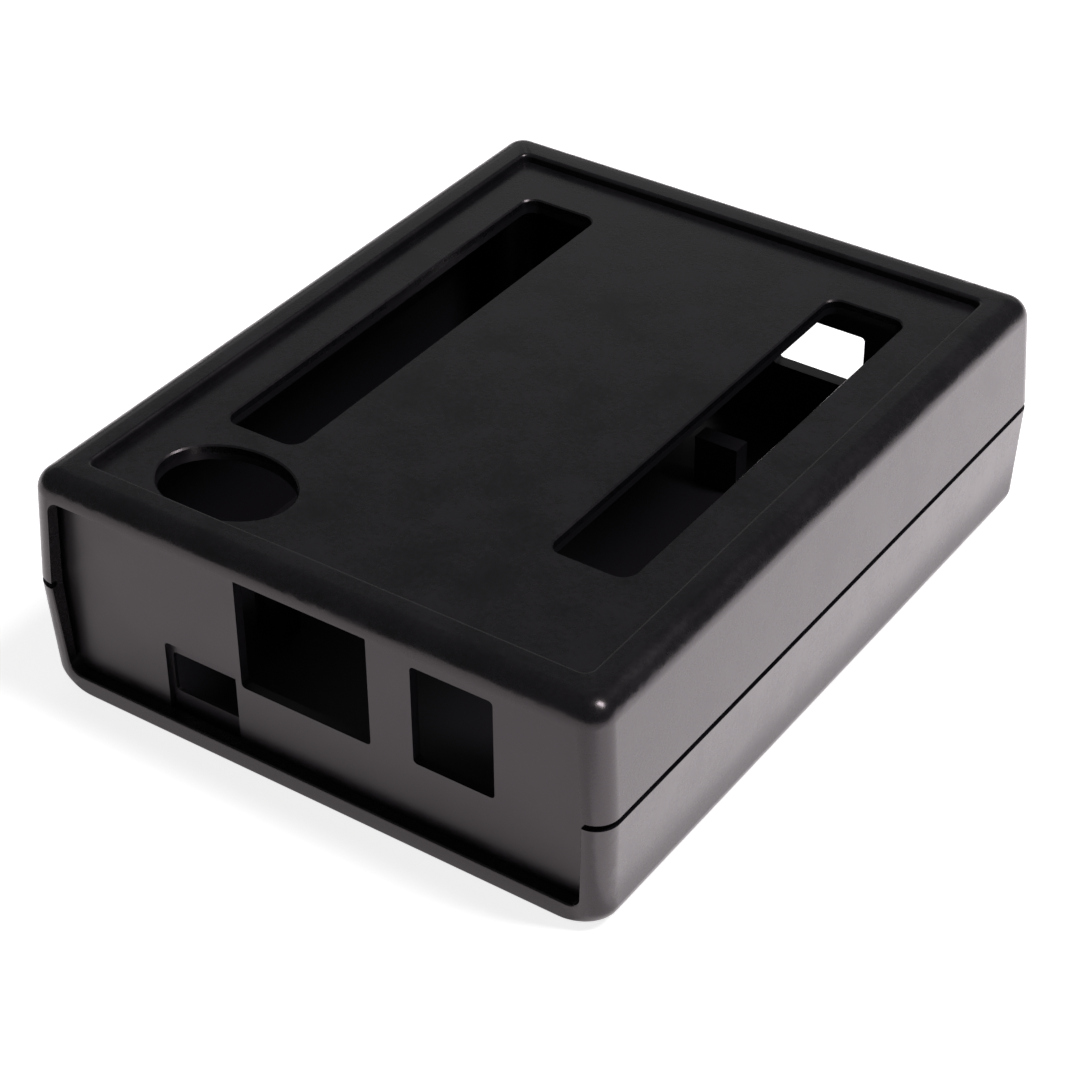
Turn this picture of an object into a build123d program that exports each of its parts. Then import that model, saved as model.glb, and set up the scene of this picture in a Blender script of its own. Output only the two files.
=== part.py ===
from build123d import *
import os
from math import radians, tan

# Two-part moulded housing for a small single-board computer: a cover and a base that meet on a
# parting line, two end panels held in channels between them, and four screws driven from below.
# Millimetres. The origin is the centre of the underside, +Z up, the connector end faces -Y.

os.makedirs("parts", exist_ok=True)

# ---- case: outside ----
case_width = 84.5  # X, at the parting line
case_length = 104.5  # Y, at the parting line
case_height = 32.9  # underside to the rim of the cover
parting_height = 16.2  # underside to the parting line
cover_side_draft = 3.5  # degrees, long sides of the cover
cover_end_draft = 1.7  # degrees, ends of the cover
base_side_draft = 2.3  # degrees, long sides of the base
base_end_draft = 2.8  # degrees, ends of the base
upright_corner_radius = 3.1  # the four upright corners
rim_edge_radius = 3.05  # outer edge round the top
side_bottom_radius = 3.4  # lower edges of the long sides
end_bottom_radius = 0.8  # lower edges of the ends
rounding_margin = 0.01  # the profiles that round the lower edges stand this far outside the walls
side_wall = 2.2  # long walls
floor_thickness = 2.0
rib_bite = 0.4  # a rib, boss or post runs this far into the wall that carries it

# ---- cover: top ----
recess_depth = 1.2  # the top lies this far below its rim
rim_width_sides = 5.1
rim_width_ends = 5.4
recess_corner_radius = 1.2
top_thickness = 2.1
slot_width = 11.3  # the two long slots over the header rows
slot_spacing = 48.26
slot_front_margin = 17.75  # from the walls of the recess to the ends of the slots
slot_rear_margin = 8.35
slot_corner_radius = 2.0
button_hole_x = -20.8  # oval hole near the connector end
button_hole_width = 18.9
button_hole_length = 14.1
button_hole_margin = 0.3  # between the hole and the wall of the recess
rim_inner_radius = 0.5  # inner edge of the rim
edge_break = 0.2  # broken edges of the slots and of the oval hole

# ---- parting line ----
reveal_height = 0.55  # shadow line moulded round the cover's lower edge
reveal_depth = 1.0
tongue_height = 1.6  # tongue on the base, along the long walls
tongue_clearance = 0.1

# ---- ends ----
panel_setback = 2.0  # outer face of a panel behind the end of the case
panel_thickness = 2.0
panel_clearance = 0.15
retainer_thickness = 1.5  # rib behind a panel
frame_side_width = 3.2  # end frame beside the opening, at the parting line
frame_floor_height = 2.8  # underside to the lower edge of the opening
frame_top_height = 3.3  # rim to the upper edge of the opening
opening_draft = 3.2  # degrees, sides of the opening below the parting line
opening_corner_radius = 1.8

# ---- openings of the connector panel ----
network_left, network_right = -11.1, 8.3
network_bottom = 12.0
network_bridge = 1.25  # panel left above the opening
power_left, power_right = 14.5, 26.0
power_bottom = 12.4
power_bridge = 2.75
usb_left, usb_right = -21.4, -12.0
usb_bottom, usb_top = 6.9, 12.7
usb_pocket_margin = 1.0  # a shallow pocket round the opening leaves room for the plug's body
usb_pocket_depth = 1.2
panel_cut_radius = 0.6

# ---- openings of the rear panel ----
host_left, host_right = 4.5, 18.6
host_bottom, host_top = 11.1, 19.9
card_left, card_right = -19.0, -5.0
card_bottom, card_top = 5.4, 8.4

# ---- board seats in the base ----
board_seat_height = 9.4  # underside of the case to the underside of the board
board_post_diameter = 6.0
board_pilot_diameter = 2.3
board_pilot_depth = 5.0
front_posts_half_spacing = 23.5
front_posts_y = -28.3
rear_posts_half_spacing = 20.3
rear_posts_y = 37.7
rest_width = 6.6  # two short walls that hold up the middle of the board
rest_thickness = 2.8
rest_x = 7.2
rest_y = 30.0

# ---- case screws, driven from below ----
screw_inset_x = 7.65  # from the sides and ends, at the parting line
screw_inset_y = 11.05
screw_meeting_height = 9.0  # where a cover boss stands on a base post
post_diameter = 7.6
boss_diameter = 6.6
gusset_thickness = 1.4
screw_head_diameter = 5.4
screw_head_height = 1.9
head_edge_break = 0.5
screw_counterbore_diameter = 6.2
screw_counterbore_depth = 3.0
screw_shank_diameter = 2.6
screw_hole_clearance = 0.2
screw_length = 12.0  # below the head
screw_point_length = 1.4
screw_point_diameter = 0.8
pilot_spare_depth = 1.0
drive_width = 3.0  # cross recess
drive_slot = 0.7
drive_depth = 1.1


def width_at(height):
    """Outside width of the case at a height."""
    above = height - parting_height
    draft = cover_side_draft if above > 0 else base_side_draft
    return case_width - 2 * abs(above) * tan(radians(draft))


def length_at(height):
    """Outside length of the case at a height."""
    above = height - parting_height
    draft = cover_end_draft if above > 0 else base_end_draft
    return case_length - 2 * abs(above) * tan(radians(draft))


def outline(height, inset=0.0):
    """Level outline of the case at a height, moved in from its outer faces."""
    with BuildSketch(Plane.XY.offset(height)) as section:
        RectangleRounded(
            width_at(height) - 2 * inset,
            length_at(height) - 2 * inset,
            upright_corner_radius - inset,
        )
    return section.sketch


def hollow(height):
    """Level outline of the inside: it follows the long walls and is upright behind the ends."""
    with BuildSketch(Plane.XY.offset(height)) as section:
        Rectangle(width_at(height) - 2 * side_wall, 2 * panel_front_y)
    return section.sketch


def half_inside(height, gap=0.0):
    """Half of the inside width at a height, less a gap."""
    return width_at(height) / 2 - side_wall - gap


def mirrored_outline(right_side):
    """Closed outline from the points of its right side, listed from the bottom up."""
    return right_side + [(-x, z) for x, z in reversed(right_side)]


def window(left, right, bottom, top, radius=panel_cut_radius):
    """Opening with rounded corners, given by its four edges."""
    with BuildSketch() as cut:
        with Locations(((left + right) / 2, (bottom + top) / 2)):
            RectangleRounded(right - left, top - bottom, radius)
    return cut.sketch


panel_front_y = case_length / 2 - panel_setback
panel_back_y = panel_front_y - panel_thickness
retainer_back_y = panel_back_y - panel_clearance - retainer_thickness
recess_length = length_at(case_height) - 2 * rim_width_ends
slot_length = recess_length - slot_front_margin - slot_rear_margin
slot_centre_y = (slot_front_margin - slot_rear_margin) / 2
button_hole_y = -(recess_length - button_hole_length) / 2 + button_hole_margin
top_face_height = case_height - recess_depth
ceiling_height = top_face_height - top_thickness
opening_top = case_height - frame_top_height
opening_half_top = width_at(opening_top) / 2 - frame_side_width
opening_half_parting = case_width / 2 - frame_side_width
opening_depth = parting_height - frame_floor_height
opening_half_floor = opening_half_parting - opening_depth * tan(radians(opening_draft))

cover_opening = mirrored_outline([(opening_half_parting, parting_height), (opening_half_top, opening_top)])
base_opening = mirrored_outline([(opening_half_floor, frame_floor_height), (opening_half_parting, parting_height)])
cover_retainer = mirrored_outline(
    [
        (half_inside(parting_height, -rib_bite), parting_height),
        (half_inside(ceiling_height, -rib_bite), ceiling_height + rib_bite),
    ]
)
base_retainer = mirrored_outline(
    [
        (half_inside(floor_thickness, -rib_bite), floor_thickness - rib_bite),
        (half_inside(parting_height, -rib_bite), parting_height),
    ]
)
panel_bottom = floor_thickness + panel_clearance
panel_top = ceiling_height - panel_clearance
panel_outline = mirrored_outline(
    [
        (half_inside(panel_bottom, panel_clearance), panel_bottom),
        (half_inside(parting_height, panel_clearance), parting_height),
        (half_inside(panel_top, panel_clearance), panel_top),
    ]
)

screw_x = case_width / 2 - screw_inset_x
screw_y = case_length / 2 - screw_inset_y
screw_places = [(x, y) for x in (-screw_x, screw_x) for y in (-screw_y, screw_y)]
gusset_centre_x = (screw_x + case_width / 2 - side_wall) / 2
gusset_length = case_width / 2 - side_wall - screw_x
gusset_places = [(x, y) for x in (-gusset_centre_x, gusset_centre_x) for y in (-screw_y, screw_y)]
board_post_places = [
    (-front_posts_half_spacing, front_posts_y),
    (front_posts_half_spacing, front_posts_y),
    (-rear_posts_half_spacing, rear_posts_y),
    (rear_posts_half_spacing, rear_posts_y),
]

# ---- top cover ----
with BuildPart() as top_cover:
    loft([outline(parting_height), outline(case_height)])
    fillet(top_cover.faces().sort_by(Axis.Z)[-1].edges(), rim_edge_radius)

    # the recessed top, its slots and its oval hole
    with BuildSketch(Plane.XY.offset(case_height)):
        RectangleRounded(
            width_at(case_height) - 2 * rim_width_sides,
            recess_length,
            recess_corner_radius,
        )
    extrude(amount=-recess_depth, mode=Mode.SUBTRACT)
    fillet(top_cover.faces().sort_by(Axis.Z)[-1].inner_wires().edges(), rim_inner_radius)
    loft([hollow(parting_height), hollow(ceiling_height)], mode=Mode.SUBTRACT)
    with BuildSketch(Plane.XY.offset(top_face_height)):
        with Locations((-slot_spacing / 2, slot_centre_y), (slot_spacing / 2, slot_centre_y)):
            RectangleRounded(slot_width, slot_length, slot_corner_radius)
        with Locations((button_hole_x, button_hole_y)):
            Ellipse(button_hole_width / 2, button_hole_length / 2)
    extrude(amount=-top_thickness, mode=Mode.SUBTRACT)
    recess_floor = top_cover.faces().filter_by(Plane.XY).sort_by(Axis.Z)[-2]
    chamfer(recess_floor.inner_wires().edges(), edge_break)

    # end openings, cut through both end frames
    with BuildSketch(Plane.XZ) as end_opening:
        with BuildLine():
            Polyline(*cover_opening, close=True)
        make_face()
        fillet(end_opening.vertices().group_by(Axis.Y)[-1], opening_corner_radius)
    extrude(amount=case_length, both=True, mode=Mode.SUBTRACT)

    # ribs behind the end panels
    for end in (-1, 1):
        with BuildSketch(Plane.XZ.offset(end * retainer_back_y)):
            with BuildLine():
                Polyline(*cover_retainer, close=True)
            make_face()
            with BuildLine():
                Polyline(*cover_opening, close=True)
            make_face(mode=Mode.SUBTRACT)
        extrude(amount=end * retainer_thickness)

    # screw bosses that reach down to the base posts, tied to the long walls
    with BuildSketch(Plane.XY.offset(screw_meeting_height)):
        with Locations(*screw_places):
            Circle(boss_diameter / 2)
    extrude(amount=ceiling_height + rib_bite - screw_meeting_height)
    gusset_foot = parting_height + tongue_height + 2 * tongue_clearance
    with BuildSketch(Plane.XY.offset(gusset_foot)):
        with Locations(*gusset_places):
            Rectangle(gusset_length, gusset_thickness)
    extrude(amount=ceiling_height + rib_bite - gusset_foot)
    pilot_top = screw_counterbore_depth + screw_length + pilot_spare_depth
    with BuildSketch(Plane.XY.offset(screw_meeting_height)):
        with Locations(*screw_places):
            Circle(screw_shank_diameter / 2)
    extrude(amount=pilot_top - screw_meeting_height, mode=Mode.SUBTRACT)

    # shadow line round the lower edge, and the rebate for the tongue
    with BuildSketch(Plane.XY.offset(parting_height)):
        Rectangle(2 * case_width, 2 * case_length)
        add(outline(parting_height, reveal_depth), mode=Mode.SUBTRACT)
    extrude(amount=reveal_height, mode=Mode.SUBTRACT)
    rebate_width = side_wall - reveal_depth + tongue_clearance
    rebate_centre = case_width / 2 - reveal_depth - rebate_width / 2
    with BuildSketch(Plane.XY.offset(parting_height)):
        with Locations((-rebate_centre, 0), (rebate_centre, 0)):
            Rectangle(rebate_width, 2 * retainer_back_y)
    extrude(amount=tongue_height + tongue_clearance, mode=Mode.SUBTRACT)
top_cover.part.label = "top_cover"

# ---- base ----
with BuildPart() as base:
    loft([outline(0), outline(parting_height)])
    # lower edges, rounded far more along the sides than across the ends
    for plane, size_at, radius in (
        (Plane.XZ, width_at, side_bottom_radius),
        (Plane.YZ, length_at, end_bottom_radius),
    ):
        foot = (size_at(0) / 2 + rounding_margin, -rounding_margin)
        shoulder = (size_at(parting_height) / 2 + rounding_margin, parting_height + rounding_margin)
        with BuildSketch(plane) as profile:
            with BuildLine():
                Polyline(*mirrored_outline([foot, shoulder]), close=True)
            make_face()
            fillet(profile.vertices().group_by(Axis.Y)[0], radius)
        extrude(amount=case_length, both=True, mode=Mode.INTERSECT)
    loft([hollow(floor_thickness), hollow(parting_height)], mode=Mode.SUBTRACT)

    with BuildSketch(Plane.XZ) as end_opening:
        with BuildLine():
            Polyline(*base_opening, close=True)
        make_face()
        fillet(end_opening.vertices().group_by(Axis.Y)[0], opening_corner_radius)
    extrude(amount=case_length, both=True, mode=Mode.SUBTRACT)

    for end in (-1, 1):
        with BuildSketch(Plane.XZ.offset(end * retainer_back_y)):
            with BuildLine():
                Polyline(*base_retainer, close=True)
            make_face()
            with BuildLine():
                Polyline(*base_opening, close=True)
            make_face(mode=Mode.SUBTRACT)
        extrude(amount=end * retainer_thickness)

    # tongue along the long walls
    tongue_width = side_wall - reveal_depth - tongue_clearance
    tongue_centre = case_width / 2 - side_wall + tongue_width / 2
    with BuildSketch(Plane.XY.offset(parting_height)):
        with Locations((-tongue_centre, 0), (tongue_centre, 0)):
            Rectangle(tongue_width, 2 * (retainer_back_y - panel_clearance))
    extrude(amount=tongue_height)

    # posts and rests for the board
    with BuildSketch(Plane.XY.offset(floor_thickness - rib_bite)):
        with Locations(*board_post_places):
            Circle(board_post_diameter / 2)
        with Locations((-rest_x, rest_y), (rest_x, rest_y)):
            Rectangle(rest_width, rest_thickness)
    extrude(amount=board_seat_height - floor_thickness + rib_bite)
    with BuildSketch(Plane.XY.offset(board_seat_height)):
        with Locations(*board_post_places):
            Circle(board_pilot_diameter / 2)
    extrude(amount=-board_pilot_depth, mode=Mode.SUBTRACT)

    # posts for the case screws, counterbored from below
    with BuildSketch(Plane.XY.offset(floor_thickness - rib_bite)):
        with Locations(*screw_places):
            Circle(post_diameter / 2)
        with Locations(*gusset_places):
            Rectangle(gusset_length, gusset_thickness)
    extrude(amount=screw_meeting_height - floor_thickness + rib_bite)
    with BuildSketch(Plane.XY):
        with Locations(*screw_places):
            Circle(screw_counterbore_diameter / 2)
    extrude(amount=screw_counterbore_depth, mode=Mode.SUBTRACT)
    with BuildSketch(Plane.XY.offset(screw_counterbore_depth)):
        with Locations(*screw_places):
            Circle(screw_shank_diameter / 2 + screw_hole_clearance)
    extrude(amount=screw_meeting_height - screw_counterbore_depth, mode=Mode.SUBTRACT)
base.part.label = "base"

# ---- connector panel ----
with BuildPart() as front_panel:
    with BuildSketch(Plane.XZ.offset(panel_back_y)):
        with BuildLine():
            Polyline(*panel_outline, close=True)
        make_face()
        add(window(network_left, network_right, network_bottom, panel_top - network_bridge), mode=Mode.SUBTRACT)
        add(window(power_left, power_right, power_bottom, panel_top - power_bridge), mode=Mode.SUBTRACT)
        add(window(usb_left, usb_right, usb_bottom, usb_top), mode=Mode.SUBTRACT)
    extrude(amount=panel_thickness)
    with BuildSketch(Plane.XZ.offset(panel_front_y)):
        add(
            window(
                usb_left - usb_pocket_margin,
                usb_right,
                panel_bottom - usb_pocket_margin,
                usb_top + usb_pocket_margin,
            )
        )
    extrude(amount=-usb_pocket_depth, mode=Mode.SUBTRACT)
front_panel.part.label = "front_panel"

# ---- rear panel ----
with BuildPart() as rear_panel:
    with BuildSketch(Plane.XZ.offset(-panel_front_y)):
        with BuildLine():
            Polyline(*panel_outline, close=True)
        make_face()
        add(window(host_left, host_right, host_bottom, host_top), mode=Mode.SUBTRACT)
        add(window(card_left, card_right, card_bottom, card_top), mode=Mode.SUBTRACT)
    extrude(amount=panel_thickness)
rear_panel.part.label = "rear_panel"


def case_screw(x, y):
    """Self-tapping screw with a pan head below and its point up in a cover boss."""
    head_bottom = screw_counterbore_depth - screw_head_height
    shank_top = screw_counterbore_depth + screw_length
    head_radius = screw_head_diameter / 2
    shank_radius = screw_shank_diameter / 2
    with BuildPart() as screw:
        with BuildSketch(Plane.XZ):
            with BuildLine():
                Polyline(
                    (0, head_bottom),
                    (head_radius, head_bottom),
                    (head_radius, screw_counterbore_depth),
                    (shank_radius, screw_counterbore_depth),
                    (shank_radius, shank_top - screw_point_length),
                    (screw_point_diameter / 2, shank_top),
                    (0, shank_top),
                    close=True,
                )
            make_face()
        revolve(axis=Axis.Z)
        chamfer(screw.edges().group_by(Axis.Z)[0], head_edge_break)
        with BuildSketch(Plane.XY.offset(head_bottom)):
            Rectangle(drive_width, drive_slot)
            Rectangle(drive_slot, drive_width)
        extrude(amount=drive_depth, mode=Mode.SUBTRACT)
    return screw.part.moved(Location((x, y, 0)))


export_step(top_cover.part, "parts/top_cover.step")
export_step(base.part, "parts/base.step")
export_step(front_panel.part, "parts/front_panel.step")
export_step(rear_panel.part, "parts/rear_panel.step")
for number, (x, y) in enumerate(screw_places, start=1):
    screw = case_screw(x, y)
    screw.label = f"case_screw_{number}"
    export_step(screw, f"parts/case_screw_{number}.step")
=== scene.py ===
from math import cos, pi, radians, sin, sqrt, tan

import bmesh
import bpy
from mathutils import Matrix, Vector


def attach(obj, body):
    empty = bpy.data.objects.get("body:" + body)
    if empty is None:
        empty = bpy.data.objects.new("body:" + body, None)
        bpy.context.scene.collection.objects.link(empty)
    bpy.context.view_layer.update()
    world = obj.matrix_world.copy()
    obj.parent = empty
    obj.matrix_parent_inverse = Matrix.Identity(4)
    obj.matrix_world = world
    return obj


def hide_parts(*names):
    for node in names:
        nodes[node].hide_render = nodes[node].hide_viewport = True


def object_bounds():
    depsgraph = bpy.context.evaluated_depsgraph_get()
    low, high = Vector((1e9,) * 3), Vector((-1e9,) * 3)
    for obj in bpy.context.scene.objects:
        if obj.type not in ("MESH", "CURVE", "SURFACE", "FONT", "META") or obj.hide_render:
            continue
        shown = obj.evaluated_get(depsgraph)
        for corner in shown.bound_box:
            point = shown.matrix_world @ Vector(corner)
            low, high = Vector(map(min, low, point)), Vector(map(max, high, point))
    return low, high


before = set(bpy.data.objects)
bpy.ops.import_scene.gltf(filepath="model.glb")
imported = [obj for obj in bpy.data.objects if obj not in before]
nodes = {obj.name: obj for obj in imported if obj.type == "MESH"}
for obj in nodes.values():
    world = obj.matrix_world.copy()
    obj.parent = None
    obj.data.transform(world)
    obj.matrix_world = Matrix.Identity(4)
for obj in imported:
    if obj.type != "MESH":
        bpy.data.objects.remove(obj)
cad_low, cad_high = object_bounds()

# Sizes and places are in mm, from the centre of the underside, with the connector end at -Y.
# MM turns them into Blender's metres.
MM = 0.001

# ---- camera: the photograph's viewing angle ----
CAMERA_PLACE = (166.512, -243.356, 224.617)
CAMERA_RIGHT = (0.824031, 0.566464, -0.009532)
CAMERA_DOWN = (0.328147, -0.490933, -0.807034)
CAMERA_FORWARD = (-0.461836, 0.661893, -0.590428)
LENS = 94.656
SENSOR = 36.0
NEAREST = 10.0
FARTHEST = 50000.0

# ---- light ----
LIGHT_TINT = (1.0, 0.94, 0.97, 1.0)
KEY_LAMP_PLACE = (410, 130, 800)
KEY_LAMP_AIM = (0, 0, 16)
KEY_LAMP_SIZE = (180, 380)
KEY_LAMP_POWER = 6.0  # W
SIDE_CARD_PLACE = (108.5, 50, 0.5)  # on the floor, for the right side to mirror
SIDE_CARD_AIM = (108.5, 50, 100)
SIDE_CARD_SIZE = (127, 260)
SIDE_CARD_POWER = 0.106  # W
FLOOR_REACH = 4000.0
FLOOR_DROP = 0.02  # below the underside
FLOOR_COLOUR = (0.8, 0.8, 0.8, 1.0)
FLOOR_GLOW = 0.8
FLOOR_GLOW_MIRRORED = 0.76
BACKDROP_WAY = (-0.55, 0.83, 0.0)  # from the object to the middle of the pale backdrop
BACKDROP_SIDE = (0.55, 0.8)  # its glow rises over this range of nearness to that way
BACKDROP_FOOT = (0.15, 0.33)  # and over this range of height
BACKDROP_TOP = (0.42, 0.53)  # and falls over this one
BACKDROP_GLOW = 0.62
STUDIO_GLOW = 0.11

# ---- case plastic, moulded in a finely spark-eroded tool ----
PLASTIC_LEVELS = (0.004, 0.0075)
PLASTIC_GREEN = 0.95  # shares of the level, for a bluish black
PLASTIC_BLUE = 1.2
PLASTIC_IOR = 1.52
PLASTIC_GLOSS_TINT = (1.0, 0.925, 0.955, 1.0)
CASE_ROUGHNESS = (0.23, 0.31)
PANEL_ROUGHNESS = (0.31, 0.39)
INSIDE_PAINTED_FILL_LEVEL = 0.009  # the faces inside the case are painted paler, as painted fill light in their shade, and are duller
INSIDE_ROUGHNESS = 0.38
INSIDE_CENTRE = (0.0, 0.0, 16.0)
INSIDE_REACH = (41.0, 49.5, 14.6)
GRAIN_SIZE = 0.4
GRAIN_HEIGHT = 0.009
SPECKLE_SIZE = 0.7
FINE_NOISE_ROUGHNESS = 0.6
CLOUD_SIZE = 7.0
CLOUDS_IN_COLOUR = 0.5
SPECKLE_IN_GLOSS = 0.4
PLASTIC_NOISE = (0.35, 0.65)  # the noise is stretched from this range

# ---- zinc plated screw steel ----
SPANGLE_SIZE = 0.5
SPANGLE_HEIGHT = 0.003
STEEL_LEVELS = (0.42, 0.56)
STEEL_BLUE = 1.03
STEEL_ROUGHNESS = (0.28, 0.42)
STEEL_NOISE = (0.3, 0.7)

# ---- the case, as in the part's source ----
HALF_WIDTH = 42.25  # at the parting line
HALF_LENGTH = 52.25
PARTING = 16.2
BASE_SIDE_SLOPE = tan(radians(2.3))
BASE_END_SLOPE = tan(radians(2.8))
COVER_SIDE_SLOPE = tan(radians(3.5))
UPRIGHT_RADIUS = 3.1
SIDE_BOTTOM_RADIUS = 3.4
END_BOTTOM_RADIUS = 0.8
REVEAL_TOP = 16.75  # upper edge of the shadow line
OPENING_HALF_WIDTH = 39.05  # end openings, at the parting line
OPENING_SLANT = radians(3.2)
OPENING_RADIUS = 1.8
PANEL_INSET = 2.35  # from the outside of the case to the side edge of a panel
PANEL_BOTTOM = 2.15
PANEL_TOP = 29.45
PANEL_BACK = -48.25  # connector panel
REAR_PANEL_FACE = 50.25
WINDOW_RADIUS = 0.6

# ---- forms refined here ----
FOOT_CORNER_GROWTH = 1.8  # the corner radius grows by this towards the underside
FOOT_MARGIN = 0.02  # the foot's form stands outside the walls, so that they stay as they are
SHADOW_LINE_TOP = 17.05
LIP_HEIGHT = 3.0  # lower edge of each end opening
LIP_RADIUS = 0.35  # rounding of that edge
LIP_BAND = 1.2  # the raised lip reaches this far into the base
LIP_SIDE_SHARE = 0.2  # and at least this share of it beside the opening
LIP_SETBACK = 0.003  # the raised lip lies this far behind the face of the end
LIP_SPARE = 0.02  # and ends this far in front of the panel
OPENING_SIDE_RADIUS = 0.25  # rounding up the sides of each end opening
PANEL_FRONT = -49.65
NETWORK_WINDOW = (-11.5, 7.9, 11.5, 27.7)  # left, right, bottom, top
POWER_WINDOW = (14.1, 25.6, 11.9, 26.2)
USB_WINDOW = (-23.1, -12.4, 5.3, 11.3)
USB_POCKET = (-23.5, -12.4, 1.15, 13.15)
USB_POCKET_DEPTH = 0.9

# ---- how finely and how far the cutting solids are made ----
WINDOW_CORNER_STEPS = 8
FOOT_CORNER_STEPS = 16
FOOT_LEVELS = 14
OPENING_CORNER_STEPS = 10
ROUNDING_STEPS = 6
FORM_SPARE = 0.5
FORM_TOP = PARTING + 5  # above the tongue
ROUNDING_SPARE = 0.4
WINDOW_SPARE = 1.0
WELD_DISTANCE = 0.001
LEVEL_TOLERANCE = 0.01
SHARP_ANGLE = radians(30)


class Nodes:
    """Short hand for building a node tree."""

    def __init__(self, tree):
        self.tree = tree
        tree.nodes.clear()

    def add(self, kind, **values):
        node = self.tree.nodes.new(kind)
        for name, value in values.items():
            if name in node.inputs:
                self.set(node.inputs[name], value)
            else:
                setattr(node, name, value)
        return node

    def set(self, socket, value):
        if isinstance(value, bpy.types.NodeSocket):
            self.tree.links.new(value, socket)
        else:
            socket.default_value = value

    def math(self, operation, first, second=0.0):
        node = self.add("ShaderNodeMath", operation=operation)
        self.set(node.inputs[0], first)
        self.set(node.inputs[1], second)
        return node.outputs[0]

    def ramp(self, value, start, end, out_start=0.0, out_end=1.0):
        """Stretch a value from one range to another and keep it inside."""
        limits = {"From Min": start, "From Max": end, "To Min": out_start, "To Max": out_end}
        return self.add("ShaderNodeMapRange", Value=value, **limits).outputs["Result"]

    def blend(self, first, second, share):
        """The first value where the share is 0, the second where it is 1."""
        return self.ramp(share, 0.0, 1.0, first, second)

    def mix(self, first, second, share):
        """The first value, with a share of the second."""
        kept = self.math("MULTIPLY", first, 1.0 - share)
        return self.math("ADD", kept, self.math("MULTIPLY", second, share))

    def noise(self, vector, size, detail=2.0, roughness=0.5):
        """Noise with features about size mm across."""
        values = {"Vector": vector, "Scale": 1 / (size * MM), "Detail": detail, "Roughness": roughness}
        return self.add("ShaderNodeTexNoise", **values).outputs["Fac"]

    def shade(self, colour, roughness, height, height_size, metallic=0.0):
        """Principled shader with fine relief, height_size mm high, joined to the output."""
        bump = self.add("ShaderNodeBump", Strength=1.0, Distance=height_size * MM, Height=height)
        values = {"Base Color": colour, "Roughness": roughness, "Metallic": metallic}
        shader = self.add("ShaderNodeBsdfPrincipled", Normal=bump.outputs[0], **values)
        self.add("ShaderNodeOutputMaterial", Surface=shader.outputs[0])
        return shader


def new_material(name):
    """A material and its empty node tree."""
    material = bpy.data.materials.new(name)
    material.use_nodes = True
    return material, Nodes(material.node_tree)


def inside_share(n, place):
    """1 on the faces inside the case, 0 on the faces outside."""
    apart = n.add("ShaderNodeSeparateXYZ", Vector=place)
    share = 1.0
    for axis, centre, reach in zip("XYZ", INSIDE_CENTRE, INSIDE_REACH):
        off = n.math("ABSOLUTE", n.math("SUBTRACT", apart.outputs[axis], centre * MM))
        share = n.math("MULTIPLY", share, n.math("LESS_THAN", off, reach * MM))
    return share


def moulded_plastic(name, roughness):
    """Black plastic with fine grain, faint speckles, and gloss that is uneven where the melt flowed."""
    material, n = new_material(name)
    place = n.add("ShaderNodeTexCoord").outputs["Object"]
    grain = n.noise(place, GRAIN_SIZE, roughness=FINE_NOISE_ROUGHNESS)
    speckle = n.noise(place, SPECKLE_SIZE, roughness=FINE_NOISE_ROUGHNESS)
    clouds = n.noise(place, CLOUD_SIZE)
    inside = inside_share(n, place)
    level = n.ramp(n.mix(speckle, clouds, CLOUDS_IN_COLOUR), *PLASTIC_NOISE, *PLASTIC_LEVELS)
    # painted fill light: the faces inside the case, which lie in shade, get a paler colour
    level = n.blend(level, INSIDE_PAINTED_FILL_LEVEL, inside)
    green = n.math("MULTIPLY", level, PLASTIC_GREEN)
    blue = n.math("MULTIPLY", level, PLASTIC_BLUE)
    colour = n.add("ShaderNodeCombineColor", Red=level, Green=green, Blue=blue)
    rough = n.ramp(n.mix(clouds, speckle, SPECKLE_IN_GLOSS), *PLASTIC_NOISE, *roughness)
    rough = n.blend(rough, INSIDE_ROUGHNESS, inside)
    shader = n.shade(colour.outputs[0], rough, grain, GRAIN_HEIGHT)
    shader.inputs["IOR"].default_value = PLASTIC_IOR
    shader.inputs["Specular Tint"].default_value = PLASTIC_GLOSS_TINT
    return material


def plated_steel(name):
    """Zinc plated steel with a fine spangle."""
    material, n = new_material(name)
    place = n.add("ShaderNodeTexCoord").outputs["Object"]
    spangle = n.noise(place, SPANGLE_SIZE, detail=3.0)
    level = n.ramp(spangle, *STEEL_NOISE, *STEEL_LEVELS)
    blue = n.math("MULTIPLY", level, STEEL_BLUE)
    colour = n.add("ShaderNodeCombineColor", Red=level, Green=level, Blue=blue)
    rough = n.ramp(spangle, *STEEL_NOISE, *STEEL_ROUGHNESS)
    n.shade(colour.outputs[0], rough, spangle, SPANGLE_HEIGHT, metallic=1.0)
    return material


def dress(node_names, material):
    """Give CAD nodes a material."""
    for name in node_names:
        slots = nodes[name].data.materials
        for index in range(len(slots)):
            slots[index] = material


def tidied(data):
    """Weld equal points of a mesh and turn its faces outwards."""
    work = bmesh.new()
    work.from_mesh(data)
    bmesh.ops.remove_doubles(work, verts=work.verts, dist=WELD_DISTANCE)
    bmesh.ops.recalc_face_normals(work, faces=work.faces)
    work.to_mesh(data)
    work.free()


def new_piece(name, points, faces):
    """A piece in mm from points and faces."""
    data = bpy.data.meshes.new(name)
    data.from_pydata(points, [], faces)
    tidied(data)
    piece = bpy.data.objects.new(name, data)
    bpy.context.scene.collection.objects.link(piece)
    return piece


def ring_solid(name, rings):
    """Closed solid in mm through rings of points."""
    size = len(rings[0])
    points = [point for ring in rings for point in ring]
    faces = [tuple(range(size)), tuple(range(len(points) - size, len(points)))]
    for start in range(0, len(points) - size, size):
        for i in range(size):
            j = (i + 1) % size
            faces.append((start + i, start + j, start + size + j, start + size + i))
    return new_piece(name, points, faces)


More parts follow.
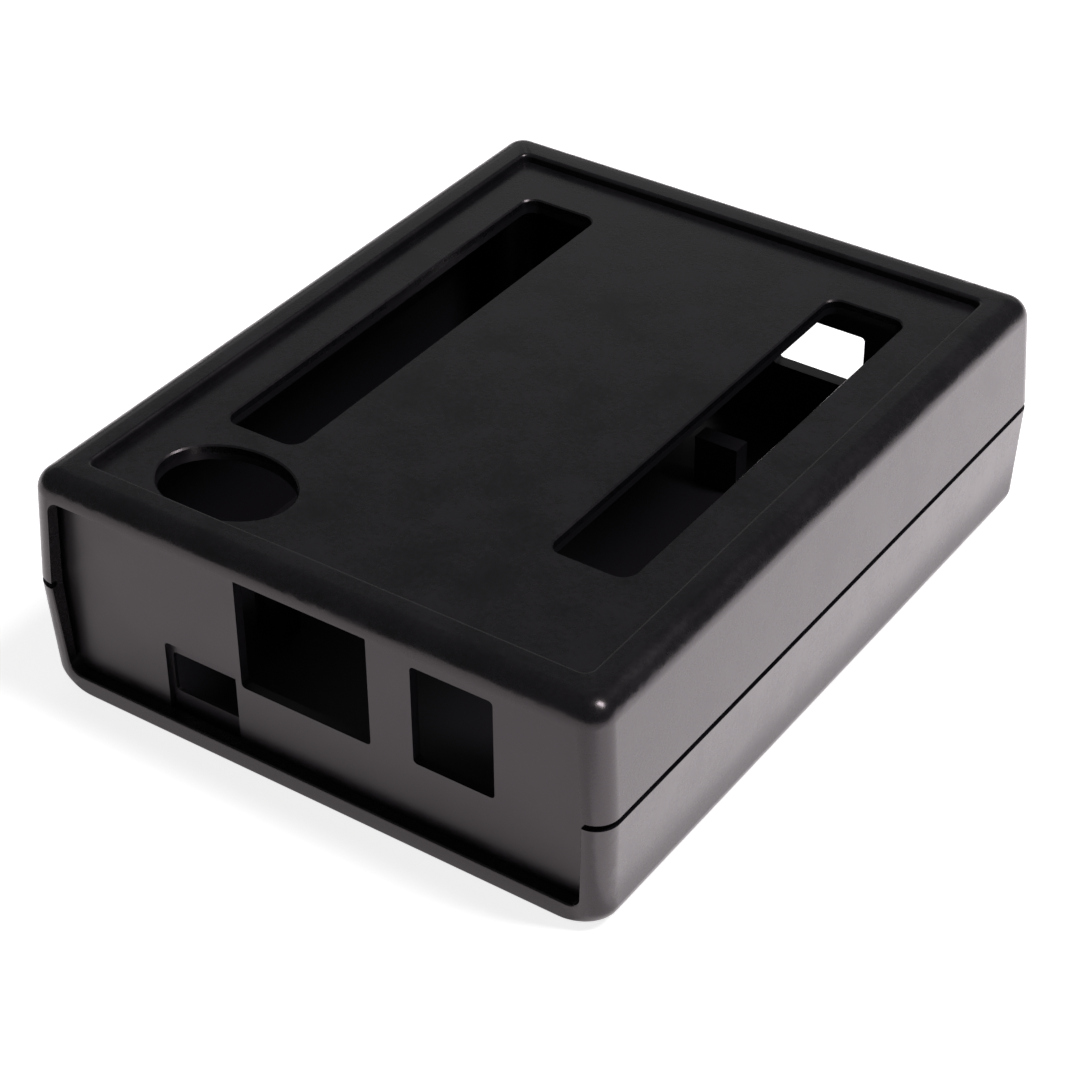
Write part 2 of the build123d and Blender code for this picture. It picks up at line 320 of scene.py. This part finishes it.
def node_copy(name, node):
    """The mesh of a CAD node as a new piece in mm."""
    source = nodes[node].data
    points = [vertex.co / MM for vertex in source.vertices]
    faces = [tuple(polygon.vertices) for polygon in source.polygons]
    return new_piece(name, points, faces)


def carve(piece, cuts):
    """Apply cuts to a piece, each an operation and a solid; the solids are used up."""
    for operation, solid in cuts:
        cut = piece.modifiers.new(operation.lower(), "BOOLEAN")
        cut.operation = operation
        cut.object = solid
        cut.solver = "EXACT"
    evaluated = piece.evaluated_get(bpy.context.evaluated_depsgraph_get())
    data = bpy.data.meshes.new_from_object(evaluated)
    piece.modifiers.clear()
    piece.data = data
    for operation, solid in cuts:
        bpy.data.objects.remove(solid)


def finish_piece(piece, node, material):
    """Bring a piece in mm to metres, shade it, and let it stand for a CAD node."""
    data = piece.data
    data.transform(Matrix.Scale(MM, 4))
    data.materials.clear()
    data.materials.append(material)
    for polygon in data.polygons:
        polygon.use_smooth = True
        polygon.material_index = 0
    data.set_sharp_from_angle(angle=SHARP_ANGLE)
    weighted = piece.modifiers.new("normals", "WEIGHTED_NORMAL")
    weighted.keep_sharp = True
    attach(piece, "root")
    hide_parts(node)


def rounded_rectangle(left, right, low, high, radius, steps):
    """Points of a rectangle with rounded corners."""
    centres = (
        (right - radius, high - radius),
        (left + radius, high - radius),
        (left + radius, low + radius),
        (right - radius, low + radius),
    )
    points = []
    for corner, (x, y) in enumerate(centres):
        for step in range(steps + 1):
            turn = (corner + step / steps) * pi / 2
            points.append((x + radius * cos(turn), y + radius * sin(turn)))
    return points


def side_face(height):
    """How far a side of the base lies from the middle at a height."""
    return HALF_WIDTH - (PARTING - height) * BASE_SIDE_SLOPE


def end_face(height):
    """How far an end of the base lies from the middle at a height."""
    return HALF_LENGTH - (PARTING - height) * BASE_END_SLOPE


def rounding_inset(height, radius):
    """How far a rounded lower edge lies inside its side at a height."""
    return radius - sqrt(radius**2 - (radius - height) ** 2) if height < radius else 0.0


def level_ring(half_width, half_length, radius, height):
    """Level ring of points round the case, with rounded corners."""
    ring = rounded_rectangle(-half_width, half_width, -half_length, half_length, radius, FOOT_CORNER_STEPS)
    return [(x, y, height) for x, y in ring]


def foot_form():
    """The outside of the base, with lower corners that round in all directions."""
    rings = []
    for step in range(FOOT_LEVELS + 1):
        level = SIDE_BOTTOM_RADIUS * (step / FOOT_LEVELS) ** 2
        half_width = side_face(level) + FOOT_MARGIN - rounding_inset(level, SIDE_BOTTOM_RADIUS)
        half_length = end_face(level) + FOOT_MARGIN - rounding_inset(level, END_BOTTOM_RADIUS)
        radius = UPRIGHT_RADIUS + FOOT_CORNER_GROWTH * (1 - level / SIDE_BOTTOM_RADIUS) ** 3
        rings.append(level_ring(half_width, half_length, radius, level))
    below = [(x, y, -FORM_SPARE) for x, y, z in rings[0]]
    above = level_ring(HALF_WIDTH + FORM_SPARE, HALF_LENGTH + FORM_SPARE, UPRIGHT_RADIUS, FORM_TOP)
    return ring_solid("foot_form", [below] + rings + [above])


def opening_edge(top):
    """Edge of an end opening of the base, down from a height, round both lower corners and up again.

    Each point is x, z, the way out of the opening there, and the radius that rounds the edge.
    """
    slope = tan(OPENING_SLANT)
    side_x = OPENING_HALF_WIDTH - (PARTING - top) * slope
    lip_x = OPENING_HALF_WIDTH - (PARTING - LIP_HEIGHT) * slope
    centre_x = lip_x + OPENING_RADIUS * slope - OPENING_RADIUS / cos(OPENING_SLANT)
    centre_z = LIP_HEIGHT + OPENING_RADIUS
    path = [(side_x, top, -OPENING_SLANT, OPENING_SIDE_RADIUS)]
    for step in range(OPENING_CORNER_STEPS + 1):
        share = step / OPENING_CORNER_STEPS
        turn = -OPENING_SLANT - share * (pi / 2 - OPENING_SLANT)
        x = centre_x + OPENING_RADIUS * cos(turn)
        z = centre_z + OPENING_RADIUS * sin(turn)
        path.append((x, z, turn, OPENING_SIDE_RADIUS + (LIP_RADIUS - OPENING_SIDE_RADIUS) * share))
    return path + [(-x, z, pi - turn, radius) for x, z, turn, radius in reversed(path)]


def raised_lip(end):
    """Solid that raises the lower edge of an end opening of the base; end is -1 or 1."""
    inner = []
    outer = []
    for x, z, turn, radius in opening_edge(LIP_HEIGHT + OPENING_RADIUS):
        reach = LIP_BAND * max(LIP_SIDE_SHARE, -sin(turn))
        inner.append((x, z))
        outer.append((x + reach * cos(turn), z + reach * sin(turn)))
    band = inner + outer[::-1]
    panel_face = PANEL_FRONT if end < 0 else REAR_PANEL_FACE
    front = [(x, end * (end_face(z) - LIP_SETBACK), z) for x, z in band]
    back = [(x, panel_face + end * LIP_SPARE, z) for x, z in band]
    return ring_solid("raised_lip", [front, back])


def edge_profile(radius):
    """Section of what a rounded edge leaves away: points out of the opening and into the end."""
    profile = [(-ROUNDING_SPARE, -ROUNDING_SPARE), (radius, -ROUNDING_SPARE)]
    for step in range(ROUNDING_STEPS + 1):
        turn = -pi / 2 - step / ROUNDING_STEPS * pi / 2
        profile.append((radius + radius * cos(turn), radius + radius * sin(turn)))
    profile.append((-ROUNDING_SPARE, radius))
    return profile


def lip_rounding(end):
    """What the rounded edge of an end opening of the base leaves away; end is -1 or 1."""
    rings = []
    for x, z, turn, radius in opening_edge(PARTING + ROUNDING_SPARE):
        ring = []
        for out, deep in edge_profile(radius):
            edge_x = x + out * cos(turn)
            edge_z = z + out * sin(turn)
            ring.append((edge_x, end * (end_face(edge_z) - deep), edge_z))
        rings.append(ring)
    return ring_solid("lip_rounding", rings)


def window_cut(window, back):
    """Solid that cuts a window with rounded corners into the connector panel, to a depth along y."""
    ring = rounded_rectangle(*window, WINDOW_RADIUS, WINDOW_CORNER_STEPS)
    ends = (PANEL_FRONT - WINDOW_SPARE, back)
    return ring_solid("window_cut", [[(x, y, z) for x, z in ring] for y in ends])


def panel_edge(height):
    """How far a side edge of a panel lies from the middle at a height."""
    slope = COVER_SIDE_SLOPE if height > PARTING else BASE_SIDE_SLOPE
    return HALF_WIDTH - PANEL_INSET - abs(height - PARTING) * slope


def make_base(material):
    """The base with rounder lower corners and a raised, rounded lip at both ends."""
    base = node_copy("base_refined", "base")
    cuts = [("INTERSECT", foot_form())]
    cuts += [("UNION", raised_lip(end)) for end in (-1, 1)]
    cuts += [("DIFFERENCE", lip_rounding(end)) for end in (-1, 1)]
    carve(base, cuts)
    finish_piece(base, "base", material)


def make_cover(material):
    """The cover with a taller shadow line."""
    cover = node_copy("top_cover_refined", "top_cover")
    for vertex in cover.data.vertices:
        if abs(vertex.co.z - REVEAL_TOP) < LEVEL_TOLERANCE:
            vertex.co.z = SHADOW_LINE_TOP
    finish_piece(cover, "top_cover", material)


def make_front_panel(material):
    """The connector panel with its face deeper in the case and its windows where the photograph has them."""
    right_side = [(panel_edge(z), z) for z in (PANEL_BOTTOM, PARTING, PANEL_TOP)]
    ring = right_side + [(-x, z) for x, z in reversed(right_side)]
    faces = [[(x, y, z) for x, z in ring] for y in (PANEL_FRONT, PANEL_BACK)]
    panel = ring_solid("front_panel_refined", faces)
    windows = (NETWORK_WINDOW, POWER_WINDOW, USB_WINDOW)
    solids = [window_cut(window, PANEL_BACK + WINDOW_SPARE) for window in windows]
    solids.append(window_cut(USB_POCKET, PANEL_FRONT + USB_POCKET_DEPTH))
    carve(panel, [("DIFFERENCE", solid) for solid in solids])
    finish_piece(panel, "front_panel", material)


def make_camera():
    data = bpy.data.cameras.new("camera")
    data.lens = LENS
    data.sensor_width = SENSOR
    data.clip_start = NEAREST * MM
    data.clip_end = FARTHEST * MM
    camera = bpy.data.objects.new("camera", data)
    bpy.context.scene.collection.objects.link(camera)
    axes = (Vector(CAMERA_RIGHT), -Vector(CAMERA_DOWN), -Vector(CAMERA_FORWARD))
    turn = Matrix(axes).transposed().to_4x4()
    camera.matrix_world = Matrix.Translation(Vector(CAMERA_PLACE) * MM) @ turn
    bpy.context.scene.camera = camera


def soft_lamp(name, place, aim, size, power):
    """Rectangular soft lamp aimed at a point."""
    data = bpy.data.lights.new(name, "AREA")
    data.shape = "RECTANGLE"
    data.size = size[0] * MM
    data.size_y = size[1] * MM
    data.energy = power
    data.color = LIGHT_TINT[:3]
    lamp = bpy.data.objects.new(name, data)
    lamp.visible_camera = False
    bpy.context.scene.collection.objects.link(lamp)
    lamp.location = Vector(place) * MM
    lamp.rotation_euler = (Vector(aim) - Vector(place)).to_track_quat("-Z", "Y").to_euler()


def background_share(n, path):
    """1 for the rays that show the plain background, 0 for the rest."""
    return n.math("MAXIMUM", path.outputs["Is Camera Ray"], path.outputs["Is Transmission Ray"])


def make_floor():
    """Plain white floor that keeps a soft shadow."""
    data = bpy.data.meshes.new("floor")
    half = FLOOR_REACH * MM
    corners = [(-half, -half, 0), (half, -half, 0), (half, half, 0), (-half, half, 0)]
    data.from_pydata(corners, [], [(0, 1, 2, 3)])
    floor = bpy.data.objects.new("floor", data)
    floor.location.z = cad_low.z - FLOOR_DROP * MM
    bpy.context.scene.collection.objects.link(floor)
    material, n = new_material("floor_white")
    path = n.add("ShaderNodeLightPath")
    mirror = path.outputs["Is Glossy Ray"]
    shown = n.math("MULTIPLY", background_share(n, path), FLOOR_GLOW)
    mirrored = n.math("MULTIPLY", mirror, FLOOR_GLOW_MIRRORED)
    green = n.blend(1.0, LIGHT_TINT[1], mirror)
    blue = n.blend(1.0, LIGHT_TINT[2], mirror)
    tint = n.add("ShaderNodeCombineColor", Red=1.0, Green=green, Blue=blue)
    glow = n.add("ShaderNodeEmission", Color=tint.outputs[0], Strength=n.math("MAXIMUM", shown, mirrored))
    diffuse = n.add("ShaderNodeBsdfDiffuse", Color=FLOOR_COLOUR)
    both = n.add("ShaderNodeAddShader")
    n.set(both.inputs[0], diffuse.outputs[0])
    n.set(both.inputs[1], glow.outputs[0])
    n.add("ShaderNodeOutputMaterial", Surface=both.outputs[0])
    data.materials.append(material)


def make_world():
    """A dim studio with a pale backdrop behind the object, to the left; white where the camera sees it."""
    world = bpy.data.worlds.new("studio")
    bpy.context.scene.world = world
    world.use_nodes = True
    n = Nodes(world.node_tree)
    path = n.add("ShaderNodeLightPath")
    way = n.add("ShaderNodeTexCoord").outputs["Generated"]
    height = n.add("ShaderNodeSeparateXYZ", Vector=way).outputs["Z"]
    nearness = n.add("ShaderNodeVectorMath", operation="DOT_PRODUCT")
    n.set(nearness.inputs[0], way)
    n.set(nearness.inputs[1], BACKDROP_WAY)
    across = n.ramp(nearness.outputs["Value"], *BACKDROP_SIDE)
    below_top = n.ramp(height, *BACKDROP_TOP, 1.0, 0.0)
    above_foot = n.ramp(height, *BACKDROP_FOOT)
    pale = n.math("MULTIPLY", across, n.math("MULTIPLY", below_top, above_foot))
    sky = n.math("MAXIMUM", n.math("MULTIPLY", pale, BACKDROP_GLOW), STUDIO_GLOW)
    strength = n.math("MAXIMUM", sky, background_share(n, path))
    background = n.add("ShaderNodeBackground", Color=(1.0, 1.0, 1.0, 1.0), Strength=strength)
    n.add("ShaderNodeOutputWorld", Surface=background.outputs[0])


make_camera()
make_world()
make_floor()
soft_lamp("key_lamp", KEY_LAMP_PLACE, KEY_LAMP_AIM, KEY_LAMP_SIZE, KEY_LAMP_POWER)
soft_lamp("side_card", SIDE_CARD_PLACE, SIDE_CARD_AIM, SIDE_CARD_SIZE, SIDE_CARD_POWER)

case_plastic = moulded_plastic("case_plastic_finish", CASE_ROUGHNESS)
panel_plastic = moulded_plastic("panel_plastic_finish", PANEL_ROUGHNESS)
screw_steel = plated_steel("screw_steel_finish")
dress(["top_cover", "base"], case_plastic)
dress(["front_panel", "rear_panel"], panel_plastic)
dress(sorted(name for name in nodes if name.startswith("case_screw")), screw_steel)

make_base(case_plastic)
make_cover(case_plastic)
make_front_panel(panel_plastic)

bpy.context.scene.view_settings.view_transform = "Standard"
